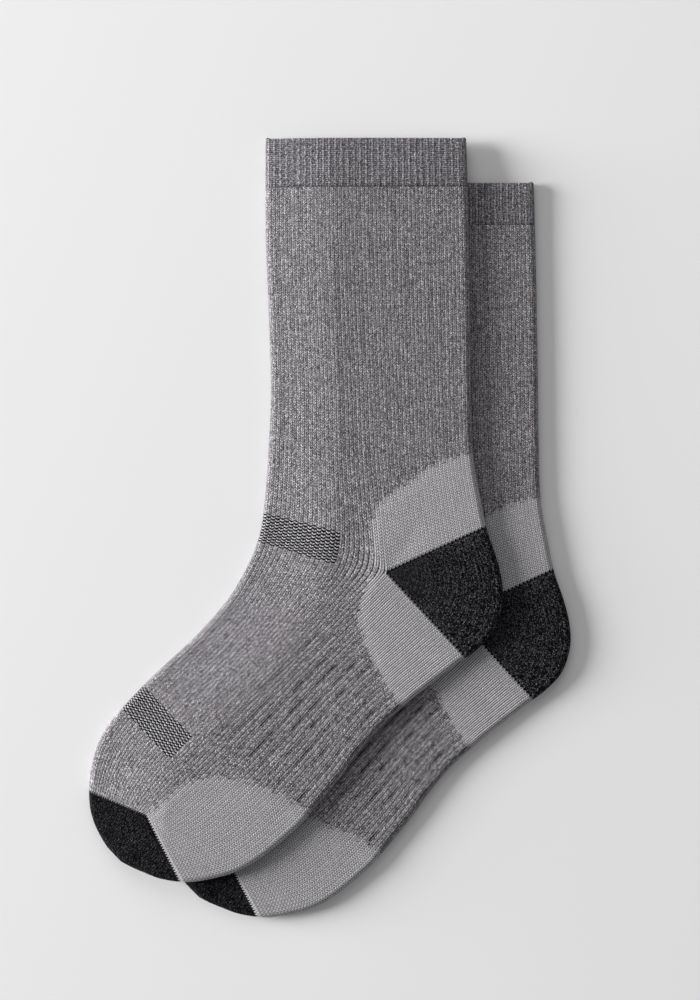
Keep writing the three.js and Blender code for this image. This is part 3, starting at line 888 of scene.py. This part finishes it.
def bodySurface(marks, xy, wales, course, ankleCourse, uneven):
    # Relief: purl wales lie back by a bell three quarters of a wale wide, each wale is a low cosine
    # ridge, the cushions are raised and the creases come on top
    look = bodyLook
    cushion = cushionDepth(marks, xy)
    inCushion = smoothStep(*look["cushionEdge"], cushion)
    panel = panelDepth(marks, xy, wales, course - ankleCourse)
    rib = ribShare(marks, xy, wales) * (1 - smoothStep(*look["ribsStop"], cushion))
    rib = rib * (1 - smoothStep(*look["panelEdge"], panel))
    seam = seamDistance(marks, xy)
    groove = grooveShare(marks, xy, inCushion)
    values = pointValues(xy.shape[:2], wale=wales, course=course, cushion=cushion, seam=seam, rib=rib,
                         panel=panel, groove=groove)
    nearest = (wales - look["purlAt"]) % look["ribWales"]
    bell = np.exp(-(np.minimum(nearest, look["ribWales"] - nearest) / look["purlBell"])**2)
    depth = look["ribDepth"] * (1 - look["ribUneven"] * uneven[(wales // look["ribWales"]).astype(int)])
    ridges = look["waleRound"] * (1 - look["cushionFlat"] * inCushion) * np.cos(math.tau * wales)
    return values, ridges - rib * depth * bell + look["cushionRise"] * inCushion + creaseHeight(marks, xy)


def rowCount(length):
    # Rows of a grid, one more than a multiple of the inside's step
    step = bodyLook["innerRows"]
    return step * int(length / bodyLook["rowStep"] / step) + 1


def makeBody(name, sock, marks, material):
    # Two grids, leg and foot, that share the line from the ankle to the gore corner
    wales, side = roundColumns(bodyLook["upperStep"], bodyLook["lowerStep"])
    reach = legReach(sock)
    footReach = np.linalg.norm(marks["tip"] - marks["gore"])
    legShare = np.linspace(sock["cuff"] / reach, 1, rowCount(reach - sock["cuff"]))
    footShare = np.linspace(0, 1, rowCount(footReach))
    legXy = faceRows(*legRows(sock, marks, legShare), wales)
    footXy = faceRows(*footRows(sock, marks, footShare), wales)
    ahead = wales < half
    ankleRow = len(legXy) - 1
    joined = easeAnkle(np.concatenate([legXy, footXy[1:]])[:, ahead], ankleRow, wales[ahead])
    legXy[:, ahead] = joined[:ankleRow + 1]
    footXy[:, ahead] = joined[ankleRow:]

    ankleCourse = reach / cloth["course"]
    legCourse = ankleCourse * legShare
    footCourse = ankleCourse + footReach * footShare / cloth["course"]
    uneven = np.random.default_rng(sock["seed"]).random(int(cloth["wales"] / bodyLook["ribWales"]) + 1)
    shell = Shell()
    rings = []
    flatArea = 0.0
    for xy, course in ((legXy, legCourse), (footXy, footCourse)):
        values, relief = bodySurface(marks, xy, wales, course[:, None], ankleCourse, uneven)
        laid = lay(sock, xy)
        clear = keepClear(sock, xy, relief * (side > 0))
        out, inn, stride = shell.wall(laid, side, wales, clear, values, closed=True)
        rings.append((out, inn))
        flat = clothPoints(laid, side)
        flatArea += gridArea(np.concatenate([flat, flat[:, :1]], 1))
    (legOut, legIn), (footOut, footIn) = rings
    stride = np.append(stride, len(wales))
    shell.rim(legOut[0], legIn[0], stride, True)
    shell.rim(footOut[-1], footIn[-1], stride, False)
    corner = np.flatnonzero(wales == half)  # the gore corner on the upper and on the lower face
    behind = np.flatnonzero((stride >= corner[0]) & (stride <= corner[1]))
    shell.rim(legOut[-1], legIn[-1][behind], stride[behind], False)
    shell.rim(footOut[0], footIn[0][behind], stride[behind], True)
    piece = makeObject(name, shell, material)
    # Once round the plan, with π T - 4 mm for the two folds, a few millimetres more than they take up
    widest = max(roundLength(row) for row in withTable(footXy[::8]))
    around = max(widest, roundLength(flat[-1])) + math.pi * thickness - 4
    return piece, around, reach - sock["cuff"] + footReach, flatArea


def panelDepth(marks, xy, wales, past):
    # How many stitches a point lies inside a flex panel, counted to its nearest edge. `past` counts
    # rows from the ankle.
    ankle = bodyLook["anklePanel"]
    inAnkle = np.minimum(np.minimum(past + ankle["above"], ankle["below"] - past), ankle["wales"] - wales)
    toe = bodyLook["toePanel"]
    along = (xy - marks["start"]) @ marks["footway"]
    inToe = np.minimum(along - toe["from"], toe["to"] - along) / cloth["course"]
    return np.maximum(inAnkle, np.minimum(inToe, toe["wales"] - wales))


def seamDistance(marks, xy):
    # Distance in millimetres to the nearest seam of the heel and the toe
    nearest = np.inf
    way = math.degrees(math.atan2(marks["footway"][1], marks["footway"][0]))
    for corner, angle in (("gore", seams["heelUpper"]), ("gore", seams["heelLower"]),
                          ("tip", way + seams["toeFront"]), ("tip", way + seams["toeBack"])):
        offset = xy - marks[corner]
        ray = direction(angle)
        along = np.maximum(offset @ ray, 0)
        nearest = np.minimum(nearest, np.linalg.norm(offset - along[..., None] * ray, axis=-1))
    return nearest


def keepClear(sock, xy, relief):
    # Under the upper sock and close beside it the lower one rises no higher than the gap allows
    if sock is socks["top"]:
        return relief
    depth, _ = measure(outline(socks["top"]), xy)
    return np.where(depth > -cloth["beside"], np.minimum(relief, cloth["gap"] - cloth["clearance"]), relief)


# Heel pocket and toe cap: raised a little, with low wales. `seamFade` is the strip beside a seam.
pocketLook = {"rise": 0.35, "waleRound": 0.08, "seamFade": 3}


def pocketRelief(marks, xy, wales, side, atSeam):
    # The rise, a cosine over each wale and the creases, level with the knit beside it at the seams
    look = pocketLook
    relief = look["rise"] + look["waleRound"] * np.cos(math.tau * wales) + creaseHeight(marks, xy)
    inside = smoothStep(0, look["seamFade"], seamDistance(marks, xy))
    return (atSeam + (relief - atSeam) * inside) * (side > 0)


heelLook = {"rows": 45, "courses": 60, "groove": 0.3}  # 60 rows of stitches from seam to seam


def makeHeel(name, sock, marks, material):
    # Its wales turn round the gore corner from the leg into the sole: rows are rays from the corner
    # to the back fold, evenly spaced along the fold
    wales, side = roundColumns(bodyLook["upperStep"], bodyLook["lowerStep"])
    corner = np.flatnonzero(wales == half)
    wales, side = wales[corner[0]:corner[1] + 1], side[corner[0]:corner[1] + 1]
    share = np.linspace(0, 1, heelLook["rows"])
    fold = foldLine(sock, "back", marks["heelTop"] + (marks["heelEnd"] - marks["heelTop"]) * share)
    xy = halfRow(fold, np.broadcast_to(marks["gore"], fold.shape), np.minimum(2 - wales / half, 1))
    relief = keepClear(sock, xy, pocketRelief(marks, xy, wales, side, bodyLook["cushionRise"]))
    laid = lay(sock, xy)
    values = pointValues(xy.shape[:2], wale=wales, course=heelLook["courses"] * share[:, None],
                         groove=heelLook["groove"])
    shell = Shell()
    out, inn, stride = shell.wall(laid, side, wales, relief, values, closed=False)
    shell.rim(out[0], inn[0], stride, True)
    shell.rim(out[-1], inn[-1], stride, False)
    piece = makeObject(name, shell, material)
    flat = clothPoints(laid, side)
    around = max(pathLength(row) for row in flat)
    length = pathLength(withTable(fold))
    return piece, around, length, min(gridArea(flat), around * length)


toeLook = {"rows": 25, "firstCourse": 40, "toeShade": 0.5, "groove": 0.4}  # half the toe's colour is near-black painted shade, so half as many flecks show


def makeToe(name, sock, marks, material):
    # Its wales run on along the foot to the outline, the last stitches turning down the quarter
    # circle of the edge: x = L - r + r sin(arc/r)
    wales = np.arange(0, cloth["wales"] + bodyLook["upperStep"] / 2, bodyLook["upperStep"])
    way, aside = marks["footway"], marks["across"]
    places = np.linspace(0, 1, samples["toeEdge"])
    frontEdge = foldLine(sock, "front", marks["toeFront"] + (3 - marks["toeFront"]) * places)
    backEdge = foldLine(sock, "back", 3 + (marks["toeBack"] - 3) * places)
    edge = np.concatenate([frontEdge, backEdge]) - marks["start"]
    seam = faceRows(*footRows(sock, marks, np.array([1.0])), wales)[0] - marks["start"]
    across, along = seam @ aside, seam @ way
    length = np.maximum(np.interp(across, edge @ aside, edge @ way) - along, 0)
    turn = np.minimum(thickness / 2, length)
    arc = np.linspace(0, 1, toeLook["rows"])[:, None] * (length + turn * (math.pi / 2 - 1))
    angle = np.clip((arc - length + turn) / np.maximum(turn, 1e-9), 0, math.pi / 2)
    advance = np.where(arc < length - turn, arc, length - turn + turn * np.sin(angle))
    xy = marks["start"] + (along + advance)[..., None] * way + across[:, None] * aside
    laid = lay(sock, xy)
    offFold(laid, wales, -1)
    atSeam = bodyLook["cushionRise"] * smoothStep(*bodyLook["cushionEdge"], cushionDepth(marks, xy))
    values = pointValues(xy.shape[:2], wale=wales, course=toeLook["firstCourse"] + arc / cloth["course"],
                         rib=toeLook["toeShade"], groove=toeLook["groove"])
    shell = Shell()
    around = flatArea = 0.0
    for face in (1.0, -1.0):
        side = np.full(len(wales), face)
        relief = keepClear(sock, xy, pocketRelief(marks, xy, wales, side, atSeam))
        out, inn, stride = shell.wall(laid, side, wales, relief, values, closed=False, inward=face < 0)
        shell.rim(out[0], inn[0], stride, face > 0)
        flat = clothPoints(laid, side)
        flatArea += gridArea(flat)
        around += pathLength(flat[0])
    piece = makeObject(name, shell, material)
    reach = (edge @ way).max() - (marks["tip"] - marks["start"]) @ way + thickness / 2
    return piece, around, reach, min(flatArea, around * reach)


makers = {
    "cuff": (makeCuff, "Cuff", "cuff_knit"),
    "leg_foot": (makeBody, "LegFoot", "marl_knit"),
    "heel": (makeHeel, "Heel", "charcoal_knit"),
    "toe": (makeToe, "Toe", "charcoal_knit"),
}
materials = {"cuff_knit": cuffKnit(), "marl_knit": marlKnit(), "charcoal_knit": charcoalKnit()}

# Floor: a pale matt table
stageLook = {"colour": "#ecebec", "size": 4000, "roughness": 0.85}


def makeFloor():
    # One square on the ground
    reach = stageLook["size"] / 2 * mm
    corners = [(-reach, -reach, 0), (reach, -reach, 0), (reach, reach, 0), (-reach, reach, 0)]
    mesh = bpy.data.meshes.new("table")
    mesh.from_pydata(corners, [], [(0, 1, 2, 3)])
    material, add = newMaterial("paintedTable")
    paint = {"Base Color": linear(stageLook["colour"]), "Roughness": stageLook["roughness"]}
    add("OutputMaterial", {"Surface": add("BsdfPrincipled", paint)})
    mesh.materials.append(material)
    newObject("table", mesh)


# Camera straight above, framed as 448 mm along the picture's height. The key light stands low at the
# upper left, and the sky fills the shadows.
view = {"x": 9.1, "y": 12.2, "height": 448, "lens": 85, "sensor": 36}
lights = {
    "key": {"from": (-4300, 600, 1150), "size": 2300, "power": 465.0},
    "upper": {"from": (-300, 1800, 1300), "size": 1800, "power": 11.0},
}
skyFill = 0.26


def makeView():
    # Lamps are turned towards the middle of the table
    scene = bpy.context.scene
    lens = bpy.data.cameras.new("above")
    lens.lens = view["lens"]
    lens.sensor_width = view["sensor"]
    camera = newObject("above", lens)
    distance = view["height"] * view["lens"] / view["sensor"] + thickness
    camera.location = (view["x"] * mm, view["y"] * mm, distance * mm)
    scene.camera = camera
    for name, light in lights.items():
        glow = bpy.data.lights.new(name, "AREA")
        glow.shape = "DISK"
        glow.size = light["size"] * mm
        glow.energy = light["power"]
        lamp = newObject(name, glow)
        x, y, z = light["from"]
        lamp.location = (x * mm, y * mm, z * mm)
        lamp.rotation_euler = (math.atan2(math.hypot(x, y), z), 0, math.atan2(y, x) + math.pi / 2)
    world = bpy.data.worlds.new("room")
    world.use_nodes = True
    sky = world.node_tree.nodes["Background"].inputs
    sky[0].default_value = (1, 1, 1, 1)
    sky[1].default_value = skyFill
    scene.world = world
    scene.view_settings.view_transform = "Standard"


makeFloor()
makeView()
print("stage and light ready")

for sockName, sock in socks.items():
    marks = landmarks(sock)
    for part, (make, label, slot) in makers.items():
        node = f"{sockName}_{part}"
        piece, around, length, area = make(sockName + label, sock, marks, materials[slot])
        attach(piece, "root")
        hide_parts(node)
        print(f"{piece.name}: {around:.0f} by {length:.0f} mm flat, {area / 100:.0f} square cm, "
              f"{len(piece.data.polygons)} faces")
